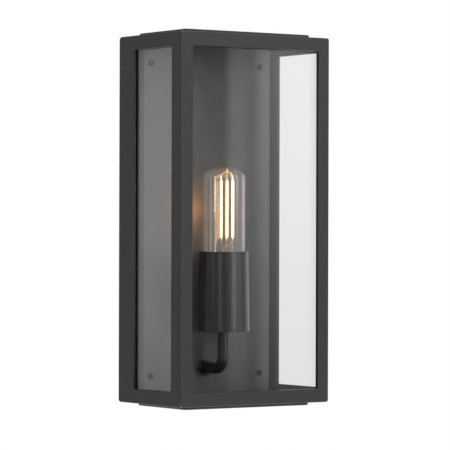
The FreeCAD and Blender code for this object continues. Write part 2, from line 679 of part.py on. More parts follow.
def bulb_hoops():
    """Two crossed wire hoops over the filaments and the glass bead that holds them to the crown."""
    wire = 0.35
    places = filament_places()
    hoops = []
    for first in (0, 1):
        x, y = places[first]
        disc = Part.Face(Part.Wire(Part.makeCircle(wire, V(x, y, FILAMENT_HIGH), V(0, 0, 1))))
        across = V(y - CAGE_Y, CAGE_X - x, 0)
        hoops.append(disc.revolve(V(CAGE_X, CAGE_Y, FILAMENT_HIGH), across, 180))
    bead_z = FILAMENT_HIGH + FILAMENT_RING + 1.0
    bead = Part.makeSphere(1.3, V(CAGE_X, CAGE_Y, bead_z))
    stalk = rod(CAGE_X, CAGE_Y, bead_z, 0.6, 2.2, V(0, 0, 1))
    return hoops[0].fuse([hoops[1], bead, stalk])


def bulb_struts():
    """Four wires from the stem's top to the filaments' lower ends."""
    solids = []
    for x, y in filament_places():
        end = V(x, y, FILAMENT_LOW - 0.3)
        start = V(x * 0.25, LAMP_Y + (y - LAMP_Y) * 0.25, STEM_TOP + 0.4)
        run = end - start
        solids.append(Part.makeCylinder(0.3, run.Length, start, run))
    return group(solids)


def bulb_cap():
    """Nickel-plated screw cap."""
    profile = threaded_wall(CAP_R, 0.4, CAP_LOW, CAP_HIGH, 0.5)
    return turned(profile, 0, LAMP_Y)


def bulb_insulator():
    """Black glass insulator under the screw cap."""
    profile = [(0, BULB_BOTTOM + 1),
               (5.0, BULB_BOTTOM + 1),
               (12.2, CAP_LOW, 9.5, BULB_BOTTOM + 2.0),
               (12.2, CAP_LOW + 1.0),
               (0, CAP_LOW + 1.0)]
    return turned(profile, 0, LAMP_Y)


def bulb_contact():
    """Solder contact on the bulb's lower end."""
    profile = [(0, BULB_BOTTOM),
               (4.8, BULB_BOTTOM + 1, 3.2, BULB_BOTTOM + 0.25),
               (0, BULB_BOTTOM + 1)]
    return turned(profile, 0, LAMP_Y)


# ---- all sub-parts ------------------------------------------------------------------------------
PARTS = {
    "wall_plate": wall_plate(),
    "cable_grommet": cable_grommet(),
    "plate_standoffs": plate_standoffs(),
    "wall_gasket": wall_gasket(),
    "terminal_block": terminal_block(),
    "terminal_screws": terminal_screws(),
    "earth_screw": earth_screw(),
    "back_tray": back_tray(),
    "tray_screws": tray_screws(),
    "rear_flange": rear_flange(),
    "left_side_frame": side_frame(-1),
    "right_side_frame": side_frame(1),
    "top_panel": end_panel(1),
    "bottom_panel": end_panel(-1),
    "top_cover": end_cover(1),
    "bottom_cover": end_cover(-1),
    "top_cover_screws": end_screws(1),
    "bottom_cover_screws": end_screws(-1),
    "front_flange": front_flange(),
    "door_gasket": door_gasket(),
    "catch_magnets": catch_magnets(),
    "left_glass": side_glass(-1),
    "right_glass": side_glass(1),
    "left_glass_seal": side_glass_seal(-1),
    "right_glass_seal": side_glass_seal(1),
    "hinge_frame_leaves": hinge_frame_leaves(),
    "hinge_pins": hinge_pins(),
    "door_frame": door_frame(),
    "door_glass": door_glass(),
    "door_glass_seal": door_glass_seal(),
    "catch_plates": catch_plates(),
    "arm_tube": arm_tube(),
    "arm_nuts": arm_nuts(),
    "arm_washer": arm_washer(),
    "holder_cover": holder_cover(),
    "holder_nut": holder_nut(),
    "lampholder_body": lampholder_body(),
    "lampholder_sleeve": lampholder_sleeve(),
    "lampholder_contact": lampholder_contact(),
    "lamp_leads": lamp_leads(),
    "bulb_glass": bulb_glass(),
    "bulb_stem": bulb_stem(),
    "bulb_filaments": bulb_filaments(),
    "bulb_hoops": bulb_hoops(),
    "bulb_struts": bulb_struts(),
    "bulb_cap": bulb_cap(),
    "bulb_insulator": bulb_insulator(),
    "bulb_contact": bulb_contact(),
}

os.makedirs("parts", exist_ok=True)
for node, shape in PARTS.items():
    if not shape.isValid() or shape.Volume <= 0:
        raise ValueError(node + " isn't a valid solid")
    shape.exportStep("parts/" + node + ".step")
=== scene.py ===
"""Looks of an outdoor wall lantern, laid out as an add-on and run as a script.

Units are metres in the shared frame: +Z up, the wall plane at Y = 0, the front facing -Y.
"""

import math

import bmesh
import bpy
import numpy as np
from mathutils import Matrix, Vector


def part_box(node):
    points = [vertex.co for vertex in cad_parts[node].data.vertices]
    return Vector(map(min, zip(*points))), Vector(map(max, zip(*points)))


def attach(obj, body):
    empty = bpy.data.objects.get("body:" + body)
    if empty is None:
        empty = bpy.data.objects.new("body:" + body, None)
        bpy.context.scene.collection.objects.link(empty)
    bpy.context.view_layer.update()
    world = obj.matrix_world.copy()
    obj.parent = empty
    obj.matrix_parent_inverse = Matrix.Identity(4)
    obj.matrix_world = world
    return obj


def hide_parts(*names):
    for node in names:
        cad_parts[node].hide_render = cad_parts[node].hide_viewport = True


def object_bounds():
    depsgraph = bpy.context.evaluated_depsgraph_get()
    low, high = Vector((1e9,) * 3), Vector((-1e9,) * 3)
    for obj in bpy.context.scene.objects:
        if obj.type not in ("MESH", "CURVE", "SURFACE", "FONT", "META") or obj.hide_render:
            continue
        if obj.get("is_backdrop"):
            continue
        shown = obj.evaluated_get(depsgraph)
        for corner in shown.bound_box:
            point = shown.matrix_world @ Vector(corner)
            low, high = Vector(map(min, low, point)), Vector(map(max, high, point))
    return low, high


bl_info = {
    "name": "Outdoor Wall Lantern",
    "version": (1, 0, 0),
    "blender": (4, 5, 0),
    "location": "3D View > Sidebar > Lantern",
    "description": "Builds the bulb, holder, arm, finishes and studio of a glazed wall lantern",
    "category": "Object",
}

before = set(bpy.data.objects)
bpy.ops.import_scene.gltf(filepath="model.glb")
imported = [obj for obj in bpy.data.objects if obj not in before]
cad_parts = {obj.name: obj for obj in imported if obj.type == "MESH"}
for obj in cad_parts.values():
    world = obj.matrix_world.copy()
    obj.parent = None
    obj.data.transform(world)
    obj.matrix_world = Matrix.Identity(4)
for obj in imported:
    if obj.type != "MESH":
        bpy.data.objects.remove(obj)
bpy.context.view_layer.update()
MM = 0.001
FULL_TURN = 2 * math.pi
BULB_BODY = "bulb"
HOUSING_BODY = "housing"

# Strip lamps by the name of their power setting: bearing and height in degrees as seen from the
# lantern, distance, how far above its middle they aim, and width and height.
STRIP_LIGHTS = {
    "strip_front": dict(azimuth=-50.0, elevation=12.0, distance=2.2, lift=0.0, size=(0.22, 1.0)),
    "strip_left": dict(azimuth=-83.0, elevation=0.0, distance=1.2, lift=0.30, size=(0.15, 0.66)),
    "strip_back": dict(azimuth=-112.0, elevation=5.0, distance=1.8, lift=0.0, size=(0.5, 1.2)),
}
# Surrounding light by the name of its level setting: the fades in degrees, each from nothing to
# full, that bound it by bearing (0 in front, positive to the right) and by height above the
# horizon.
STUDIO_LIGHTS = {
    "behind": dict(bearing=[(98.0, 128.0)]),
    "behind_left": dict(bearing=[(-135.0, -142.0), (-154.0, -147.0)], height=[(-15.0, 4.0)]),
    "right_side": dict(bearing=[(58.0, 94.0), (132.0, 118.0)],
                       height=[(-55.0, -30.0), (30.0, 5.0)]),
    "right_wall": dict(bearing=[(34.10, 34.38), (56.0, 46.0)], height=[(-9.0, 6.0), (45.0, 30.0)]),
    "right_box": dict(bearing=[(34.70, 35.05), (56.0, 46.0)], height=[(-9.0, 6.0), (45.0, 30.0)]),
    "front_box": dict(bearing=[(2.0, 12.0), (28.0, 22.0)], height=[(-9.0, 2.0), (62.0, 45.0)]),
    "front_core": dict(bearing=[(8.5, 12.5), (19.5, 15.5)], height=[(-5.0, 1.0), (50.0, 35.0)]),
    "overhead": dict(height=[(35.0, 60.0)]),
}


# ---- mesh helpers ---------------------------------------------------------------------------
def linked(name, data):
    """New object of a mesh, lamp or camera, put into the scene."""
    thing = bpy.data.objects.new(name, data)
    bpy.context.scene.collection.objects.link(thing)
    return thing


def grid_piece(name, points, smooth_angle=40.0):
    """Closed mesh of a grid of points, rows along one parameter and columns round the other.

    Row i, column j is joined to its neighbours by a quad, and the columns wrap round. Points that
    coincide, as at a pole, are welded, and faces are turned outwards.
    """
    rows, columns = points.shape[:2]
    here = np.arange(rows * columns).reshape(rows, columns)
    across = np.roll(here, -1, axis=1)
    quads = np.stack([here[:-1], across[:-1], across[1:], here[1:]], axis=-1).reshape(-1, 4)
    mesh = bpy.data.meshes.new(name)
    mesh.from_pydata(points.reshape(-1, 3).tolist(), [], quads.tolist())
    work = bmesh.new()
    work.from_mesh(mesh)
    bmesh.ops.remove_doubles(work, verts=work.verts, dist=1e-7)
    bmesh.ops.recalc_face_normals(work, faces=work.faces)
    work.to_mesh(mesh)
    work.free()
    mesh.shade_smooth()
    mesh.set_sharp_from_angle(angle=math.radians(smooth_angle))
    return linked(name, mesh)


def joined(name, pieces):
    """Several pieces made one object, with their meshes put end to end."""
    work = bmesh.new()
    for piece in pieces:
        work.from_mesh(piece.data)
    mesh = bpy.data.meshes.new(name)
    work.to_mesh(mesh)
    work.free()
    for piece in pieces:
        bpy.data.objects.remove(piece)
    return linked(name, mesh)


def around(sides):
    """Angles of a ring's points, as a row."""
    return np.linspace(0, FULL_TURN, sides, endpoint=False)[None]


def along(steps):
    """Places from 0 to 1 along a piece, as a column."""
    return np.linspace(0, 1, steps)[:, None]


def rounded_profile(outline, steps=6):
    """Points of a profile whose corners, given as (radius, height, rounding), are tangent arcs."""
    spots = np.array(outline, float)
    line = []
    for k in range(len(spots)):
        here, rounding = spots[k, :2], spots[k, 2]
        if rounding <= 0 or k in (0, len(spots) - 1):
            line.append(here[None])
            continue
        back = spots[k - 1, :2] - here
        ahead = spots[k + 1, :2] - here
        back, ahead = back / np.linalg.norm(back), ahead / np.linalg.norm(ahead)
        half = 0.5 * math.acos(np.clip(back @ ahead, -1, 1))
        start = here + back * rounding / math.tan(half)
        bisector = (back + ahead) / np.linalg.norm(back + ahead)
        centre = here + bisector * rounding / math.sin(half)
        spoke = start - centre
        sign = 1.0 if spoke[1] * back[0] - spoke[0] * back[1] > 0 else -1.0
        turn = sign * np.linspace(0, math.pi - 2 * half, steps + 1)[:, None]
        side = np.array([-spoke[1], spoke[0]])
        line.append(centre + np.cos(turn) * spoke + np.sin(turn) * side)
    return np.concatenate(line)


def tightened(profile, hold=0.25 * MM):
    """Profile with two more points near the ends of each straight, so that shading stays true."""
    start, way = profile[:-1], np.diff(profile, axis=0)
    length = np.linalg.norm(way, axis=1, keepdims=True)
    step = way * np.minimum(hold / np.maximum(length, 1e-9), 1 / 3)
    inner = np.stack([start, start + step, start + way - step], axis=1).reshape(-1, 2)
    return np.vstack([inner, profile[-1:]])


def turned_piece(name, profile, x, y, sides=96, smooth_angle=40.0):
    """Surface of revolution: (x + r cos a, y + r sin a, z) for each (r, z) of a profile."""
    angle = around(sides)
    r, z = profile[:, :1], profile[:, 1:2]
    points = np.stack([x + r * np.cos(angle), y + r * np.sin(angle), z + 0 * angle], axis=-1)
    return grid_piece(name, points, smooth_angle)


def swept_piece(name, path, radius, across, sides=24):
    """Tube round a flat path: path + r (cos a n + sin a b), b being the path plane's normal.

    n is b crossed with the path's direction. The ends close on the path's own end points.
    """
    heading = np.gradient(path, axis=0)
    heading /= np.linalg.norm(heading, axis=1, keepdims=True)
    b = np.asarray(across, float) / np.linalg.norm(across)
    n = np.cross(b, heading)
    angle = around(sides)[..., None]
    tube = path[:, None] + radius * (np.cos(angle) * n[:, None] + np.sin(angle) * b)
    ends = [np.repeat(path[k][None, None], sides, axis=1) for k in (0, -1)]
    return grid_piece(name, np.concatenate([ends[0], tube, ends[1]]))


def settle(piece, body, material, slot, *replaced):
    """Gives a new piece its material, the body it rides on and the nodes it stands for."""
    piece.data.materials.clear()
    piece.data.materials.append(material)
    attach(piece, body)
    if replaced:
        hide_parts(*replaced)


def corners(node):
    """Low and high corner of a node's box, as arrays."""
    return tuple(np.array(corner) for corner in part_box(node))


def span(node):
    """Centre and half size of a node's box, as arrays."""
    low, high = corners(node)
    return (low + high) / 2, (high - low) / 2


# ---- material helpers -----------------------------------------------------------------------
def shader(name, colour, roughness, metallic=0.0, **sockets):
    """New material with one Principled shader; returns the material and the shader node."""
    material = bpy.data.materials.new(name)
    material.use_nodes = True
    node = material.node_tree.nodes["Principled BSDF"]
    node.inputs["Base Color"].default_value = (*colour[:3], 1.0)
    node.inputs["Roughness"].default_value = roughness
    node.inputs["Metallic"].default_value = metallic
    for label, value in sockets.items():
        node.inputs[label.replace("_", " ")].default_value = value
    return material, node


def add_glow(node, colour, strength):
    """Makes a Principled shader give light of its own."""
    node.inputs["Emission Color"].default_value = (*colour[:3], 1.0)
    node.inputs["Emission Strength"].default_value = strength


def add_node(owner, kind, **values):
    """Adds a node to a material or world and sets its inputs by name, or its own settings where it
    has no such input."""
    node = owner.node_tree.nodes.new(kind)
    for label, value in values.items():
        socket = node.inputs.get(label.replace("_", " "))
        if socket is None:
            setattr(node, label, value)
        else:
            socket.default_value = value
    return node


def wire(owner, source, target):
    """Joins two sockets of a material or world."""
    owner.node_tree.links.new(source, target)


def split_axes(owner, output):
    """X, Y and Z sockets of one output of the texture coordinates."""
    place = add_node(owner, "ShaderNodeTexCoord")
    axes = add_node(owner, "ShaderNodeSeparateXYZ")
    wire(owner, place.outputs[output], axes.inputs["Vector"])
    return axes.outputs


def object_noise(material, scale, detail=2.0, stretch=(1.0, 1.0, 1.0)):
    """Noise in the object's own coordinates; scale is in grains a metre."""
    place = add_node(material, "ShaderNodeTexCoord")
    mapping = add_node(material, "ShaderNodeMapping", Scale=stretch)
    noise = add_node(material, "ShaderNodeTexNoise", Scale=scale, Detail=detail, Roughness=0.55)
    wire(material, place.outputs["Object"], mapping.inputs["Vector"])
    wire(material, mapping.outputs["Vector"], noise.inputs["Vector"])
    return noise.outputs["Fac"]


def vary_colour(material, node, fac, low, high):
    """Base colour that runs from low to high over the middle of fac's range."""
    ramp = add_node(material, "ShaderNodeValToRGB")
    for stop, position, colour in zip(ramp.color_ramp.elements, (0.3, 0.7), (low, high)):
        stop.position = position
        stop.color = (*colour[:3], 1.0)
    wire(material, fac, ramp.inputs["Fac"])
    wire(material, ramp.outputs["Color"], node.inputs["Base Color"])


def mottle(material, node, fac, colour, darker, lighter):
    """Base colour that runs with fac from a darker to a lighter tone of one colour."""
    low, high = (tuple(min(1.0, c * factor) for c in colour[:3]) for factor in (darker, lighter))
    vary_colour(material, node, fac, low, high)


def vary_roughness(material, node, fac, roughness, smoother, rougher):
    """Roughness that runs from a little under its usual value to a little over it."""
    spread = add_node(material, "ShaderNodeMapRange", From_Min=0.3, From_Max=0.7,
                      To_Min=roughness - smoother, To_Max=min(1.0, roughness + rougher))
    wire(material, fac, spread.inputs["Value"])
    wire(material, spread.outputs["Result"], node.inputs["Roughness"])


def raise_surface(material, node, height, depth, strength):
    """Bump of a given depth in metres."""
    bump = add_node(material, "ShaderNodeBump", Strength=strength, Distance=depth)
    wire(material, height, bump.inputs["Height"])
    wire(material, bump.outputs["Normal"], node.inputs["Normal"])


# ---- finishes -------------------------------------------------------------------------------
def powder_coat(name, colour, roughness, pebble=0.05 * MM):
    """Fine-textured black powder coat: a pebbled grain with a faint cloudiness."""
    material, node = shader(name, colour, roughness, Specular_IOR_Level=0.45)
    grain = object_noise(material, scale=1400.0, detail=3.0)
    cloud = object_noise(material, scale=60.0, detail=3.0)
    mottle(material, node, cloud, colour, darker=0.88, lighter=1.12)
    vary_roughness(material, node, grain, roughness, smoother=0.05, rougher=0.07)
    raise_surface(material, node, grain, depth=pebble, strength=0.3)
    return material


def coat_material(finish):
    """The one powder coat that the frame, arm and cup share."""
    found = bpy.data.materials.get("powder_coat_black")
    return found or powder_coat("powder_coat_black", finish.coat, finish.coat_roughness)


def coat_with_painted_inside_light(name, outside, inside, roughness):
    """Smooth coat of a panel: the coat's colour where it faces away from the lantern's middle
    height and a lighter colour as painted light where it faces the inside, by the sign of height
    times upward slope."""
    material, node = shader(name, outside, roughness, Specular_IOR_Level=0.5)
    product = add_node(material, "ShaderNodeMath", operation="MULTIPLY")
    wire(material, split_axes(material, "Object")["Z"], product.inputs[0])
    wire(material, split_axes(material, "Normal")["Z"], product.inputs[1])
    inward = add_node(material, "ShaderNodeMath", operation="LESS_THAN")
    wire(material, product.outputs["Value"], inward.inputs[0])
    inward.inputs[1].default_value = 0.0
    # Painted light: faces turned inwards get the lighter colour.
    vary_colour(material, node, inward.outputs["Value"], outside, inside)
    return material


def pane_glass(name, tint, index, painted_glow=0.0, painted_glow_colour=(1.0, 1.0, 1.0)):
    """Thin clear glass: it lets light straight through and mirrors by its angle, on both faces.

    The painted glow is emission painted on the glass itself, which is no lamp: light that brightens
    the bulb's glass evenly.
    """
    material = bpy.data.materials.new(name)
    material.use_nodes = True
    material.node_tree.nodes.clear()
    out = add_node(material, "ShaderNodeOutputMaterial")
    mix = add_node(material, "ShaderNodeMixShader")
    clear = add_node(material, "ShaderNodeBsdfTransparent", Color=(*tint[:3], 1.0))
    mirror = add_node(material, "ShaderNodeBsdfGlossy", Roughness=0.0)
    angle = add_node(material, "ShaderNodeFresnel")
    face = add_node(material, "ShaderNodeNewGeometry")
    side = add_node(material, "ShaderNodeMapRange", To_Min=index, To_Max=1.0 / index)
    wire(material, face.outputs["Backfacing"], side.inputs["Value"])
    wire(material, side.outputs["Result"], angle.inputs["IOR"])
    wire(material, angle.outputs["Fac"], mix.inputs["Fac"])
    wire(material, clear.outputs["BSDF"], mix.inputs[1])
    # Painted glow: an even emission on the glass itself, which is no lamp.
    if painted_glow:
        both = add_node(material, "ShaderNodeAddShader")
        painted_glow_node = add_node(material, "ShaderNodeEmission", Strength=painted_glow,
                        Color=(*painted_glow_colour[:3], 1.0))
        wire(material, clear.outputs["BSDF"], both.inputs[0])
        wire(material, painted_glow_node.outputs["Emission"], both.inputs[1])
        wire(material, both.outputs["Shader"], mix.inputs[1])
    wire(material, mirror.outputs["BSDF"], mix.inputs[2])
    wire(material, mix.outputs["Shader"], out.inputs["Surface"])
    return material


def plated_metal(name, colour, roughness):
    """Plated metal with fine rolling marks."""
    material, node = shader(name, colour, roughness, metallic=1.0)
    marks = object_noise(material, scale=900.0, detail=3.0, stretch=(1.0, 1.0, 0.08))
    mottle(material, node, marks, colour, darker=0.82, lighter=1.1)
    vary_roughness(material, node, marks, roughness, smoother=0.06, rougher=0.1)
    raise_surface(material, node, marks, depth=0.02 * MM, strength=0.3)
    return material


def moulded(name, colour, roughness, shine=0.5):
    """Moulded plastic, rubber or silicone, or blackened steel, with a faint grain."""
    material, node = shader(name, colour, roughness, Specular_IOR_Level=shine)
    grain = object_noise(material, scale=1100.0)
    mottle(material, node, grain, colour, darker=0.85, lighter=1.12)
    vary_roughness(material, node, grain, roughness, smoother=0.08, rougher=0.08)
    raise_surface(material, node, grain, depth=0.05 * MM, strength=0.35)
    return material


def foam(name, colour):
    """Closed-cell foam: small round cells."""
    material, node = shader(name, colour, roughness=0.9)
    place = add_node(material, "ShaderNodeTexCoord")
    cells = add_node(material, "ShaderNodeTexVoronoi", Scale=1600.0)
    wire(material, place.outputs["Object"], cells.inputs["Vector"])
    hollow = cells.outputs["Distance"]
    mottle(material, node, hollow, colour, darker=0.5, lighter=1.3)
    raise_surface(material, node, hollow, depth=0.15 * MM, strength=0.6)
    return material


def lit_filament(name, colour, glow, strength):
    """Phosphor coating of a lit filament, a little darker in bands along it."""
    material, node = shader(name, colour, roughness=0.6)
    add_glow(node, glow, strength)
    bands = object_noise(material, scale=700.0, stretch=(0.3, 0.3, 1.0))
    mottle(material, node, bands, colour, darker=0.8, lighter=1.0)
    raise_surface(material, node, bands, depth=0.08 * MM, strength=0.4)
    return material


def metal_with_painted_glow(name, colour, roughness, shine):
    """Wire right beside the filaments, with a painted glow that stands in for the filaments' light
    on it.
    """
    material = plated_metal(name, colour, roughness)
    # Painted glow: emission in the wire's own colour.
    add_glow(material.node_tree.nodes["Principled BSDF"], colour, shine)
    return material


def lead_insulation(name, left, right):
    """Insulation of the two leads, one colour on each side of the middle plane."""
    material, node = shader(name, left, roughness=0.45)
    which = add_node(material, "ShaderNodeMath", operation="GREATER_THAN")
    which.inputs[1].default_value = 0.0
    wire(material, split_axes(material, "Object")["X"], which.inputs[0])
    vary_colour(material, node, which.outputs["Value"], left, right)
    return material


# ---- settings -------------------------------------------------------------------------------
def colour_setting(name, description, default):
    """Colour property with the usual limits."""
    return bpy.props.FloatVectorProperty(name=name, description=description, default=default,
                                         subtype="COLOR", size=3, min=0.0, max=1.0)


def length_setting(name, description, default):
    """Length property in metres."""
    return bpy.props.FloatProperty(name=name, description=description, default=default,
                                   unit="LENGTH", precision=5)


def angle_setting(name, description, degrees):
    """Angle property, given in degrees and kept in radians."""
    return bpy.props.FloatProperty(name=name, description=description,
                                   default=math.radians(degrees), subtype="ANGLE", precision=4)


def power_setting(name, description, watts):
    """Power property of a lamp."""
    return bpy.props.FloatProperty(name=name, description=description, default=watts,
                                   unit="POWER", min=0.0, precision=4)


def share_setting(name, description, default):
    """Property that runs from 0 to 1."""
    return bpy.props.FloatProperty(name=name, description=description, default=default,
                                   subtype="FACTOR", min=0.0, max=1.0, precision=3)


def number_setting(name, description, default):
    """Plain number property that isn't negative."""
    return bpy.props.FloatProperty(name=name, description=description, default=default, min=0.0)


class LanternFinishSettings(bpy.types.PropertyGroup):
    """Colours and gloss of the lantern's surfaces."""

    coat: colour_setting("Powder coat", "Colour of frame, arm and holder", (0.016, 0.016, 0.0175))
    coat_roughness: share_setting("Coat roughness", "Roughness of the powder coat", 0.30)
    # Painted light: the tray's colour is lighter than the frame's coat and stands in for the sheen
    # and reflections it shows.
    tray: colour_setting("Tray coat", "Colour of the back tray", (0.088, 0.088, 0.094))
    tray_roughness: share_setting("Tray roughness", "Roughness of the back tray", 0.40)
    tray_pebble: length_setting("Tray pebble", "Height of the tray coat's grain", 0.012 * MM)
    # Painted light: the inside faces of top and bottom get a lighter colour than the coat.
    painted_inside_light: colour_setting("Lining", "Colour inside the top and bottom", (0.05, 0.05, 0.053))
    panel_roughness: share_setting("Lining roughness", "Roughness of top and bottom", 0.20)
    pane: colour_setting("Pane tint", "What a pane lets through", (0.972, 0.972, 0.972))
    glass_index: number_setting("Glass index", "Index of refraction of the panes", 1.5)
    bulb_glass: colour_setting("Bulb glass tint", "What the bulb lets through", (0.97, 0.96, 0.95))
    bulb_index: number_setting("Bulb index", "Index of refraction of the bulb's glass", 1.8)
    # The bulb's glass has a painted glow: emission on the glass, which is no lamp.
    bulb_painted_glow: share_setting("Bulb veil", "Light that the bulb's glass scatters", 0.036)
    painted_glow_colour: colour_setting("Veil colour", "Colour of that light", (1.0, 0.88, 0.76))
    phosphor: colour_setting("Phosphor", "Colour of the filaments' coating", (1.0, 0.82, 0.5))
    glow: colour_setting("Filament glow", "Colour of the lit filaments", (1.0, 0.62, 0.26))
    glow_strength: number_setting("Glow strength", "Emission of the lit filaments", 4.5)
    # Painted light: the gold of hoops, tabs and struts stands in for the filaments' warm light on
    # nickel wire.
    painted_warm_wire: colour_setting("Gilt", "Colour of the hoops and tabs", (0.92, 0.56, 0.12))
    # Painted glow: hoops, tabs and struts give off light of their own in place of the filaments'
    # light on them.
    painted_warm_wire_glow: number_setting("Gilt glow", "How much hoops and tabs shine", 0.9)
    strut: colour_setting("Strut", "Colour of the struts under the filaments", (0.62, 0.46, 0.25))
    strut_painted_glow: number_setting("Strut glow", "How much the struts shine", 0.12)
    wire_roughness: share_setting("Wire roughness", "Roughness of hoops, tabs and struts", 0.35)
    cap: colour_setting("Cap", "Colour of the bulb's screw cap", (0.66, 0.64, 0.60))
    cap_roughness: share_setting("Cap roughness", "Roughness of the bulb's screw cap", 0.28)


class LanternBulbSettings(bpy.types.PropertyGroup):
    """Sizes of the bulb's parts that the frame's boxes don't give."""

    wall: length_setting("Wall", "Thickness of the bulb's glass", 0.9 * MM)
    neck: length_setting("Neck", "Radius of the bulb's neck", 11.0 * MM)
    neck_height: length_setting("Neck height", "Length of the straight neck", 6.4 * MM)
    throat: length_setting("Throat", "Height of the bend from neck to wall", 12.6 * MM)
    shoulder: length_setting("Shoulder", "Radius of the bend under the crown", 9.0 * MM)
    crown: length_setting("Crown", "Radius of the crown", 35.0 * MM)
    stem: length_setting("Stem", "Radius of the stem above its flare", 2.9 * MM)
    thread_pitch: length_setting("Thread pitch", "Rise of the cap's thread in a turn", 3.6 * MM)
    thread_depth: length_setting("Thread depth", "Depth of the cap's thread", 0.7 * MM)
    cap_wall: length_setting("Cap wall", "Metal left under the cap's thread", 0.5 * MM)
    stick: length_setting("Filament", "Radius of a filament stick", 1.0 * MM)
    stick_end: length_setting("Filament end", "Bare tab at each end of a filament", 2.2 * MM)
    cage_turn: angle_setting("Cage turn", "Turn of the four filaments round their axis", -34.0)
    wire: length_setting("Wire", "Radius of the filament wires", 0.3 * MM)


class LanternHolderSettings(bpy.types.PropertyGroup):
    """Sizes of the holder cup and the arm."""

    cup_wall: length_setting("Cup wall", "Thickness of the holder cup", 1.5 * MM)
    cup_floor: length_setting("Cup floor", "Thickness of the cup's floor", 2.0 * MM)
    cup_flare: length_setting("Cup flare", "How much wider the foot is than the rim", 1.25 * MM)
    foot_round: length_setting("Foot rounding", "Rounding of the cup's foot", 1.0 * MM)
    rim_round: length_setting("Rim rounding", "Rounding of the cup's rim", 0.5 * MM)
    hole_round: length_setting("Hole rounding", "Rounding of the arm's hole", 0.3 * MM)
    hole_gap: length_setting("Hole gap", "Gap between the arm and its hole", 0.1 * MM)
    tube: length_setting("Arm radius", "Outer radius of the arm", 5.0 * MM)
    bend: length_setting("Arm bend", "Radius of the arm's bend", 12.0 * MM)


class LanternStageSettings(bpy.types.PropertyGroup):
    """Camera and studio."""

    azimuth: angle_setting("Azimuth", "Camera's bearing; 0 looks along +Y", -34.178)
    elevation: angle_setting("Elevation", "Camera's height above the horizon", -0.193)
    roll: angle_setting("Roll", "Camera's roll", 0.1635)
    distance: length_setting("Distance", "Camera to the point that it looks at", 2.3514)
    aim: bpy.props.FloatVectorProperty(
        name="Aim", description="Point looked at, from the lantern's middle",
        default=(0.001, 0.0, -0.0046), size=3, subtype="TRANSLATION", precision=5)
    lens: bpy.props.FloatProperty(
        name="Lens", description="Focal length in millimetres", default=213.93, unit="CAMERA")
    sensor: bpy.props.FloatProperty(
        name="Sensor", description="Sensor width in millimetres", default=36.0, unit="CAMERA")
    floor_drop: length_setting("Floor", "How far the floor lies under the lantern", 1.2)
    floor_radius: length_setting("Floor radius", "Radius of the round floor", 7.0)
    floor_tone: share_setting("Floor tone", "Grey of the floor", 0.9)
    floor_light: number_setting("Floor light", "Light of the floor", 0.40)
    ambient: number_setting("Ambient", "Light from every side", 0.04)
    behind: number_setting("Behind", "Light of the backdrop", 1.0)
    behind_left: number_setting("Behind left", "Light of the backdrop's left end", 0.95)
    right_side: number_setting("Right side", "Light from low on the right", 1.1)
    right_wall: number_setting("Right wall", "Light of the wall in front on the right", 0.9)
    right_box: number_setting("Right box", "Light of the soft box before that wall", 1.1)
    front_box: number_setting("Front box", "Light of the soft box in front", 3.0)
    front_core: number_setting("Front core", "Light of that soft box's bright middle", 7.5)
    overhead: number_setting("Overhead", "Light from above", 0.7)
    strip_front: power_setting("Front strip", "Power of the strip light in front", 8.0)
    strip_left: power_setting("Left strip", "Power of the strip light on the left", 1.6)
    strip_back: power_setting("Back strip", "Power of the strip light behind on the left", 1.6)
    bulb_light: power_setting("Bulb light", "Power of the lamp behind the filaments", 0.037)
    bulb_colour: colour_setting("Bulb colour", "Colour of that lamp", (1.0, 0.44, 0.11))
    bulb_spread: length_setting("Bulb spread", "Radius of that lamp", 6.0 * MM)
    bulb_shift: length_setting("Bulb shift", "How far left and back that lamp stands", 14.0 * MM)


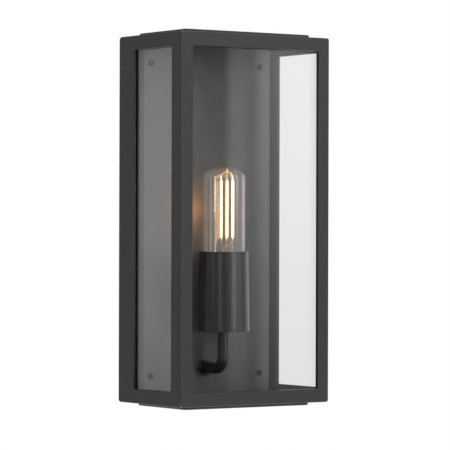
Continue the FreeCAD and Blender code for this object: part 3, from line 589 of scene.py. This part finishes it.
class LANTERN_OT_bulb_glass(bpy.types.Operator):
    """Blown envelope and flared stem of the bulb"""

    bl_idname = "lantern.bulb_glass"
    bl_label = "Bulb Glass"

    def execute(self, context):
        finish, sizes = context.scene.lantern_finish, context.scene.lantern_bulb
        centre, half = span("bulb_glass")
        glass = pane_glass("clear_bulb_glass", finish.bulb_glass, finish.bulb_index,
                           finish.bulb_painted_glow, finish.painted_glow_colour)
        envelope = turned_piece("bulb_envelope", self.envelope(centre, half, sizes),
                                centre[0], centre[1], sides=128, smooth_angle=60.0)
        settle(envelope, BULB_BODY, glass, "bulb_glass", "bulb_glass")
        stem = grid_piece("bulb_stem_glass", self.stem(*span("bulb_stem"), sizes.stem))
        settle(stem, BULB_BODY, glass, "bulb_glass", "bulb_stem")
        return {"FINISHED"}

    @staticmethod
    def envelope(centre, half, sizes):
        """Neck, S-bend, straight wall, shoulder arc and crown arc, out on one side and back inside.

        The shoulder's centre is off the axis by the radius less the shoulder, and the crown's is on
        it; the arcs meet on the line through both centres.
        """
        top, low = centre[2] + half[2], centre[2] - half[2]
        off = half[0] - sizes.shoulder
        lift = math.sqrt((sizes.crown - sizes.shoulder) ** 2 - off ** 2)
        crown_z = top - sizes.crown
        meet = math.atan2(lift, off)

        def side(inset):
            neck, wall = sizes.neck - inset, half[0] - inset
            bend, crown = sizes.shoulder - inset, sizes.crown - inset
            s = along(13)
            ease = s * s * (3 - 2 * s)
            foot = low + sizes.neck_height
            throat = np.hstack([neck + (wall - neck) * ease, foot + sizes.throat * s])
            a = meet * along(13)
            shoulder = np.hstack([off + bend * np.cos(a), crown_z + lift + bend * np.sin(a)])
            a = np.linspace(meet, math.pi / 2, 11)[1:, None]
            cap = np.hstack([crown * np.cos(a), crown_z + crown * np.sin(a)])
            return np.vstack([[(neck, low)], throat, shoulder, cap])

        return np.vstack([side(0.0), side(sizes.wall)[::-1], [(sizes.neck, low)]])

    @staticmethod
    def stem(centre, half, tube):
        """Tube of radius r(h) that flares at its foot and is pinched flat across X at its top.

        The flare dies away up the stem, and the top closes in a quarter ellipse.
        """
        foot, flare_decay = half[0] - 0.5 * MM, 9.0
        closing = 0.12
        pinch_start, pinch_run, pinch_depth, pinch_spread = 0.55, 0.3, 0.55, 0.35
        h = along(40)
        angle = around(48)
        r = tube + (foot - tube) * np.exp(-h * flare_decay)
        r = r * np.sqrt(np.clip(1 - np.clip((h - 1 + closing) / closing, 0, 1) ** 2, 0, 1))
        r[0] = 0.0
        pinch = np.clip((h - pinch_start) / pinch_run, 0, 1) * pinch_depth
        x = centre[0] + r * (1 + pinch_spread * pinch) * np.cos(angle)
        y = centre[1] + r * (1 - pinch) * np.sin(angle)
        z = centre[2] - half[2] + 2 * half[2] * h + 0 * angle
        return np.stack([x, y, z], axis=-1)


class LANTERN_OT_filaments(bpy.types.Operator):
    """Four lit filament sticks with their end tabs, hoops, bead and struts"""

    bl_idname = "lantern.filaments"
    bl_label = "Filaments"

    def execute(self, context):
        finish, sizes = context.scene.lantern_finish, context.scene.lantern_bulb
        phosphor = lit_filament("filament_phosphor", finish.phosphor, finish.glow,
                                finish.glow_strength)
        # Hoops, tabs and struts carry a painted warm tint and a painted glow for the filaments'
        # light.
        painted_warm_wire = metal_with_painted_glow("gilded_wire", finish.painted_warm_wire, finish.wire_roughness, finish.painted_warm_wire_glow)
        plated = metal_with_painted_glow("filament_wire", finish.strut, finish.wire_roughness,
                           finish.strut_painted_glow)
        centre, half = span("bulb_filaments")
        low, high = centre[2] - half[2], centre[2] + half[2]
        ring = (half[0] - sizes.stick) / math.cos(sizes.cage_turn)
        angles = sizes.cage_turn + np.arange(4) * math.pi / 2
        spots = np.stack([centre[0] + ring * np.cos(angles), centre[1] + ring * np.sin(angles)], 1)
        sticks = [self.stick(spot, low + sizes.stick_end, high - sizes.stick_end, sizes.stick)
                  for spot in spots]
        settle(joined("filament_sticks", sticks), BULB_BODY, phosphor, "filament",
               "bulb_filaments")
        tabs = [self.tab(spot, z, way) for spot in spots for z, way in ((low, 1), (high, -1))]
        settle(joined("filament_tabs", tabs), BULB_BODY, painted_warm_wire, "nickel")
        hoops = [self.hoop(spot, centre, high, ring, sizes.wire) for spot in spots[:2]]
        hoops.append(self.bead(centre, high + ring))
        settle(joined("filament_hoops", hoops), BULB_BODY, painted_warm_wire, "nickel", "bulb_hoops")
        axis, stem_top = span("bulb_glass")[0], corners("bulb_stem")[1][2]
        struts = [self.strut(axis, stem_top, spot, low, sizes.wire) for spot in spots]
        settle(joined("filament_struts", struts), BULB_BODY, plated, "nickel", "bulb_struts")
        return {"FINISHED"}

    @staticmethod
    def stick(spot, low, high, radius):
        """Coated stick: radius r, drawn in to a point over a short round end at each end."""
        s = np.sin(np.linspace(-math.pi / 2, math.pi / 2, 61)) / 2 + 0.5
        ends = np.clip(np.minimum(s, 1 - s) * (high - low) / radius, 0, 1)
        r = radius * np.sqrt(1 - (1 - ends) ** 2)
        profile = np.stack([r, low + (high - low) * s], 1)
        return turned_piece("stick", profile, *spot, sides=24, smooth_angle=80.0)

    @staticmethod
    def tab(spot, z, way):
        """Narrow metal strip at a filament's end: an ellipse of section that tapers to the wire."""
        length, half_width, half_thickness, tip = 2.8 * MM, 0.55 * MM, 0.25 * MM, 0.35
        s = along(12)
        angle = around(16)
        widened = tip + (1 - tip) * np.clip(s * 3, 0, 1)
        size = np.where((s == 0) | (s == 1), 0.0, widened)
        x = spot[0] + half_width * size * np.cos(angle)
        y = spot[1] + half_thickness * size * np.sin(angle)
        height = z + way * length * s + 0 * angle
        return grid_piece("tab", np.stack([x, y, height], axis=-1))

    @staticmethod
    def hoop(start, centre, high, ring, radius):
        """Half circle of wire from one filament's top over to the opposite one's."""
        a = np.linspace(0, math.pi, 40)[:, None]
        out = np.array([start[0] - centre[0], start[1] - centre[1], 0.0])
        middle = np.array([centre[0], centre[1], high])
        path = middle + np.cos(a) * out + np.sin(a) * np.array([0, 0, ring])
        return swept_piece("hoop", path, radius, np.cross(out, (0, 0, 1)), sides=12)

    @staticmethod
    def bead(centre, top):
        """Glass bead on the hoops' crossing with a stalk up to the crown, as one turned shape.

        The bead is an ellipse over the lower part of the height and the stalk fills the rest.
        """
        height, drop = 4.0 * MM, 0.6 * MM
        ball_radius, ball_half, stalk_radius, stalk_start = 1.25 * MM, 0.32, 0.55 * MM, 0.3
        stalk_end = 60
        s = along(28)
        ball = np.sqrt(np.clip(1 - ((s - ball_half) / ball_half) ** 2, 0, 1)) * ball_radius
        stalk = stalk_radius * np.clip((1 - s) * stalk_end, 0, 1) * (s > stalk_start)
        profile = np.hstack([np.maximum(ball, stalk), top - drop + height * s])
        return turned_piece("bead", profile, centre[0], centre[1], sides=24, smooth_angle=60.0)

    @staticmethod
    def strut(axis, stem_top, spot, low, radius):
        """Wire that leaves the stem's top and bows out and up to a filament's foot."""
        spread, sunk, overlap, bulge = 0.25, 0.8 * MM, 0.3 * MM, 0.22
        s = along(16)
        foot = np.array([axis[0] + (spot[0] - axis[0]) * spread,
                         axis[1] + (spot[1] - axis[1]) * spread, stem_top - sunk])
        head = np.array([spot[0], spot[1], low + overlap])
        bow = np.array([head[0] - foot[0], head[1] - foot[1], 0]) * np.sin(math.pi * s) * bulge
        path = foot + (head - foot) * s + bow
        return swept_piece("strut", path, radius, np.cross(head - foot, (0, 0, 1)), sides=10)


class LANTERN_OT_bulb_cap(bpy.types.Operator):
    """Screw cap of the bulb with a real helical thread"""

    bl_idname = "lantern.bulb_cap"
    bl_label = "Bulb Cap"

    def execute(self, context):
        finish, sizes = context.scene.lantern_finish, context.scene.lantern_bulb
        points = self.thread(*span("bulb_cap"), sizes)
        nickel = plated_metal("nickel_plate", finish.cap, finish.cap_roughness)
        settle(grid_piece("bulb_screw_cap", points, smooth_angle=70.0), BULB_BODY, nickel,
               "nickel", "bulb_cap")
        return {"FINISHED"}

    @staticmethod
    def thread(centre, half, sizes):
        """Wall of radius R - d (1 - cos(2 pi z / p - a)) / 2 up the outside, and plain inside.

        The thread fades into a plain wall at both rims, so that each rim is a level ring.
        """
        low_fade, high_fade, rim_depth = 0.08, 0.16, 0.6
        height = 2 * half[2]
        s = along(110)
        angle = around(96)
        z = centre[2] - half[2] + height * s
        wave = (1 - np.cos(FULL_TURN * height * s / sizes.thread_pitch - angle)) / 2
        fade = np.clip(np.minimum(s / low_fade, (1 - s) / high_fade), 0, 1)
        r = half[0] - sizes.thread_depth * (wave * fade + (1 - fade) * rim_depth)
        inside = np.full((2, angle.size), half[0] - sizes.thread_depth - sizes.cap_wall)
        ends = np.array([[centre[2] + half[2]], [centre[2] - half[2]]])
        radius = np.vstack([r, inside, r[:1]])
        level = np.vstack([z, ends, z[:1]]) + 0 * angle
        return np.stack([centre[0] + radius * np.cos(angle), centre[1] + radius * np.sin(angle),
                         level], axis=-1)


class LANTERN_OT_holder_cup(bpy.types.Operator):
    """Tapered cup round the lampholder"""

    bl_idname = "lantern.holder_cup"
    bl_label = "Holder Cup"

    def execute(self, context):
        finish, sizes = context.scene.lantern_finish, context.scene.lantern_holder
        centre, half = span("holder_cover")
        low, top = centre[2] - half[2], centre[2] + half[2]
        foot, rim = half[0], half[0] - sizes.cup_flare
        hole, floor = sizes.tube + sizes.hole_gap, low + sizes.cup_floor
        profile = rounded_profile([
            (hole, floor, 0), (hole, low, sizes.hole_round), (foot, low, sizes.foot_round),
            (rim, top, sizes.rim_round), (rim - sizes.cup_wall, top, sizes.rim_round),
            (foot - sizes.cup_wall, floor, sizes.foot_round), (hole, floor, 0)])
        cup = turned_piece("holder_cup", tightened(profile), centre[0], centre[1],
                           sides=128, smooth_angle=35.0)
        settle(cup, HOUSING_BODY, coat_material(finish), "powder_coat", "holder_cover")
        return {"FINISHED"}


class LANTERN_OT_arm(bpy.types.Operator):
    """Bent tube arm"""

    bl_idname = "lantern.arm"
    bl_label = "Arm"

    def execute(self, context):
        finish, sizes = context.scene.lantern_finish, context.scene.lantern_holder
        low, high = corners("arm_tube")
        x = (low[0] + high[0]) / 2
        front, run = low[1] + sizes.tube, low[2] + sizes.tube
        a = np.linspace(0, math.pi / 2, 25)
        bend = np.stack([np.full(a.size, x), front + sizes.bend * (1 - np.cos(a)),
                         run + sizes.bend * (1 - np.sin(a))], 1)
        lead = sizes.bend + 1 * MM
        path = np.vstack([[(x, front, high[2]), (x, front, run + lead)], bend,
                          [(x, front + lead, run), (x, high[1], run)]])
        arm = swept_piece("arm", path, sizes.tube, across=(1, 0, 0), sides=48)
        settle(arm, HOUSING_BODY, coat_material(finish), "powder_coat", "arm_tube")
        return {"FINISHED"}


class LANTERN_OT_finishes(bpy.types.Operator):
    """Finishes of all the nodes that keep their own shape"""

    bl_idname = "lantern.finishes"
    bl_label = "Finishes"

    def execute(self, context):
        finish = context.scene.lantern_finish
        coat = coat_material(finish)
        # The tray's lighter colour is painted light.
        tray = powder_coat("powder_coat_tray", finish.tray, finish.tray_roughness,
                           finish.tray_pebble)
        # Top and bottom: black coat outside, painted light on the inside faces.
        coat_painted_inside = coat_with_painted_inside_light("powder_coat_lined", outside=finish.coat, inside=finish.painted_inside_light,
                           roughness=finish.panel_roughness)
        pane = pane_glass("clear_pane", finish.pane, finish.glass_index)
        zinc = plated_metal("zinc_plate", colour=(0.55, 0.56, 0.57), roughness=0.35)
        brass = plated_metal("rolled_brass", colour=(0.72, 0.50, 0.22), roughness=0.28)
        magnet = plated_metal("magnet_plate", colour=(0.5, 0.5, 0.51), roughness=0.2)
        solder = plated_metal("solder", colour=(0.6, 0.6, 0.6), roughness=0.4)
        oxide = moulded("black_oxide", colour=(0.005, 0.005, 0.0052), roughness=0.45, shine=0.15)
        seal = moulded("black_silicone", colour=(0.02, 0.02, 0.02), roughness=0.5)
        rubber = moulded("soft_rubber", colour=(0.02, 0.02, 0.02), roughness=0.6)
        white = moulded("white_polyamide", colour=(0.75, 0.74, 0.70), roughness=0.5)
        phenolic = moulded("black_phenolic", colour=(0.02, 0.02, 0.021), roughness=0.35)
        vitreous = moulded("black_vitreous", colour=(0.012, 0.012, 0.013), roughness=0.12)
        strip = foam("sealing_foam", colour=(0.03, 0.03, 0.031))
        leads = lead_insulation("lead_insulation", left=(0.02, 0.06, 0.30),
                                right=(0.16, 0.05, 0.02))
        finishes = {
            coat: ("door_frame", "left_side_frame", "right_side_frame", "top_cover",
                   "bottom_cover", "front_flange", "rear_flange", "arm_nuts"),
            coat_painted_inside: ("top_panel", "bottom_panel"),
            tray: ("back_tray",),
            pane: ("door_glass", "left_glass", "right_glass"),
            zinc: ("wall_plate", "plate_standoffs", "terminal_screws", "hinge_pins",
                   "catch_plates", "arm_washer", "holder_nut"),
            oxide: ("tray_screws", "top_cover_screws", "bottom_cover_screws",
                    "hinge_frame_leaves"),
            brass: ("earth_screw", "lampholder_sleeve", "lampholder_contact"),
            magnet: ("catch_magnets",),
            seal: ("door_glass_seal", "left_glass_seal", "right_glass_seal"),
            strip: ("wall_gasket", "door_gasket"),
            rubber: ("cable_grommet",),
            white: ("terminal_block",),
            phenolic: ("lampholder_body",),
            vitreous: ("bulb_insulator",),
            solder: ("bulb_contact",),
            leads: ("lamp_leads",),
        }
        for material, nodes in finishes.items():
            for node in nodes:
                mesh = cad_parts[node].data
                mesh.materials.clear()
                mesh.materials.append(material)
        return {"FINISHED"}


class LANTERN_OT_stage(bpy.types.Operator):
    """White studio: floor, lights, world and camera"""

    bl_idname = "lantern.stage"
    bl_label = "Stage"

    def execute(self, context):
        stage = context.scene.lantern_stage
        middle = np.mean(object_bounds(), axis=0)
        self.camera(context, stage, middle)
        self.floor(stage, middle[2] - stage.floor_drop)
        self.world(context, stage)
        for name, placing in STRIP_LIGHTS.items():
            self.strip_light(name, getattr(stage, name), middle, **placing)
        self.bulb_light(stage)
        context.scene.view_settings.view_transform = "Standard"
        return {"FINISHED"}

    @staticmethod
    def bearing(azimuth, elevation):
        """Unit vector from the lantern towards a place at that bearing; 0 is straight in front."""
        level = math.cos(elevation)
        return np.array([math.sin(azimuth) * level, -math.cos(azimuth) * level,
                         math.sin(elevation)])

    def camera(self, context, stage, middle):
        """Camera with a long lens that looks at the lantern from its left front."""
        lens = bpy.data.cameras.new("camera")
        lens.lens = stage.lens
        lens.sensor_width = stage.sensor
        camera = linked("camera", lens)
        aim = middle + np.array(stage.aim)
        place = aim + self.bearing(stage.azimuth, stage.elevation) * stage.distance
        look_at(camera, place, aim, stage.roll)
        context.scene.camera = camera

    @staticmethod
    def floor(stage, height):
        """Round pale floor: rings of radius 0 and R at one height."""
        angle = around(96)
        r = np.array([[0.0], [stage.floor_radius]])
        points = np.stack([r * np.cos(angle), r * np.sin(angle), height + 0 * r * angle], axis=-1)
        floor = grid_piece("floor", points)
        material, node = shader("pale_floor", (stage.floor_tone,) * 3, roughness=0.8)
        add_glow(node, (1.0, 1.0, 1.0), stage.floor_light)
        floor.data.materials.append(material)
        floor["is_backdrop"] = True

    @staticmethod
    def world(context, stage):
        """White where it is seen; as light, dim air with a backdrop, walls and soft boxes in it.

        The light of a direction is the sum of terms, and each term is its level times the fades
        that bound it by bearing and by height above the horizon.
        """
        world = bpy.data.worlds.new("studio")
        world.use_nodes = True
        world.node_tree.nodes.clear()

        def math_node(operation, *values):
            node = add_node(world, "ShaderNodeMath", operation=operation)
            for socket, value in zip(node.inputs, values):
                if isinstance(value, float):
                    socket.default_value = value
                else:
                    wire(world, value, socket)
            return node.outputs["Value"]

        def fade(value, start, end):
            node = add_node(world, "ShaderNodeMapRange", interpolation_type="SMOOTHSTEP",
                            From_Min=start, From_Max=end)
            wire(world, value, node.inputs["Value"])
            return node.outputs["Result"]

        axes = split_axes(world, "Generated")
        forward = math_node("MULTIPLY", axes["Y"], -1.0)
        sources = {"bearing": math_node("DEGREES", math_node("ARCTAN2", axes["X"], forward)),
                   "height": math_node("DEGREES", math_node("ARCSINE", axes["Z"]))}
        total = stage.ambient
        for name, bounds in STUDIO_LIGHTS.items():
            term = getattr(stage, name)
            for source, fades in bounds.items():
                for start, end in fades:
                    term = math_node("MULTIPLY", fade(sources[source], start, end), term)
            total = math_node("ADD", term, total)
        out = add_node(world, "ShaderNodeOutputWorld")
        mix = add_node(world, "ShaderNodeMixShader")
        light = add_node(world, "ShaderNodeBackground", Color=(1.0, 1.0, 1.0, 1.0))
        seen = add_node(world, "ShaderNodeBackground", Color=(1.0, 1.0, 1.0, 1.0))
        path = add_node(world, "ShaderNodeLightPath")
        wire(world, total, light.inputs["Strength"])
        wire(world, path.outputs["Is Camera Ray"], mix.inputs["Fac"])
        wire(world, light.outputs["Background"], mix.inputs[1])
        wire(world, seen.outputs["Background"], mix.inputs[2])
        wire(world, mix.outputs["Shader"], out.inputs["Surface"])
        context.scene.world = world

    def strip_light(self, name, power, middle, azimuth, elevation, distance, lift, size):
        """Rectangular lamp that faces the lantern and isn't seen directly."""
        lamp = bpy.data.lights.new(name, "AREA")
        lamp.shape = "RECTANGLE"
        lamp.size, lamp.size_y = size
        lamp.energy = power
        thing = linked(name, lamp)
        aim = middle + np.array([0.0, 0.0, lift])
        way = self.bearing(math.radians(azimuth), math.radians(elevation))
        look_at(thing, aim + way * distance, aim)
        thing.visible_camera = False

    @staticmethod
    def bulb_light(stage):
        """Small warm lamp behind and left of the filaments; it isn't seen or mirrored."""
        lamp = bpy.data.lights.new("bulb_light", "POINT")
        lamp.energy = stage.bulb_light
        lamp.color = stage.bulb_colour
        lamp.shadow_soft_size = stage.bulb_spread
        thing = linked("bulb_light", lamp)
        shift = stage.bulb_shift * np.array([-1.0, 1.0, 0.0])
        thing.location = span("bulb_filaments")[0] + shift
        thing.visible_camera = False
        thing.visible_glossy = False


def look_at(thing, place, at, roll=0.0):
    """Puts a camera or lamp at a place and turns it to look at a point."""
    back = np.asarray(place - at, float)
    back /= np.linalg.norm(back)
    right = np.cross((0, 0, 1), back)
    right /= np.linalg.norm(right)
    up = np.cross(back, right)
    leaned = np.cos(roll) * right + np.sin(roll) * up
    upright = np.cos(roll) * up - np.sin(roll) * right
    matrix = np.eye(4)
    matrix[:3] = np.stack([leaned, upright, back, place], axis=1)
    thing.matrix_world = Matrix(matrix.tolist())


class LANTERN_PT_panel(bpy.types.Panel):
    """Sidebar panel with the lantern's settings and makers"""

    bl_label = "Wall Lantern"
    bl_idname = "LANTERN_PT_panel"
    bl_space_type = "VIEW_3D"
    bl_region_type = "UI"
    bl_category = "Lantern"

    def draw(self, context):
        for group in SETTINGS:
            box = self.layout.box()
            settings = getattr(context.scene, group)
            for label in settings.bl_rna.properties.keys():
                if label not in ("rna_type", "name"):
                    box.prop(settings, label)
        for maker in MAKERS:
            self.layout.operator(maker.bl_idname)


SETTINGS = {
    "lantern_finish": LanternFinishSettings,
    "lantern_bulb": LanternBulbSettings,
    "lantern_holder": LanternHolderSettings,
    "lantern_stage": LanternStageSettings,
}
MAKERS = (LANTERN_OT_stage, LANTERN_OT_finishes, LANTERN_OT_holder_cup, LANTERN_OT_arm,
          LANTERN_OT_bulb_glass, LANTERN_OT_filaments, LANTERN_OT_bulb_cap)
CLASSES = (*SETTINGS.values(), *MAKERS, LANTERN_PT_panel)


def register():
    """Registers the classes and hangs the settings on the scene."""
    for item in CLASSES:
        bpy.utils.register_class(item)
    for name, group in SETTINGS.items():
        setattr(bpy.types.Scene, name, bpy.props.PointerProperty(type=group))


def unregister():
    """Takes the settings and classes away again."""
    for name in SETTINGS:
        delattr(bpy.types.Scene, name)
    for item in reversed(CLASSES):
        bpy.utils.unregister_class(item)


def main():
    """Builds everything in order."""
    register()
    for maker in MAKERS:
        section, name = maker.bl_idname.split(".")
        getattr(getattr(bpy.ops, section), name)()


if __name__ == "__main__":
    main()
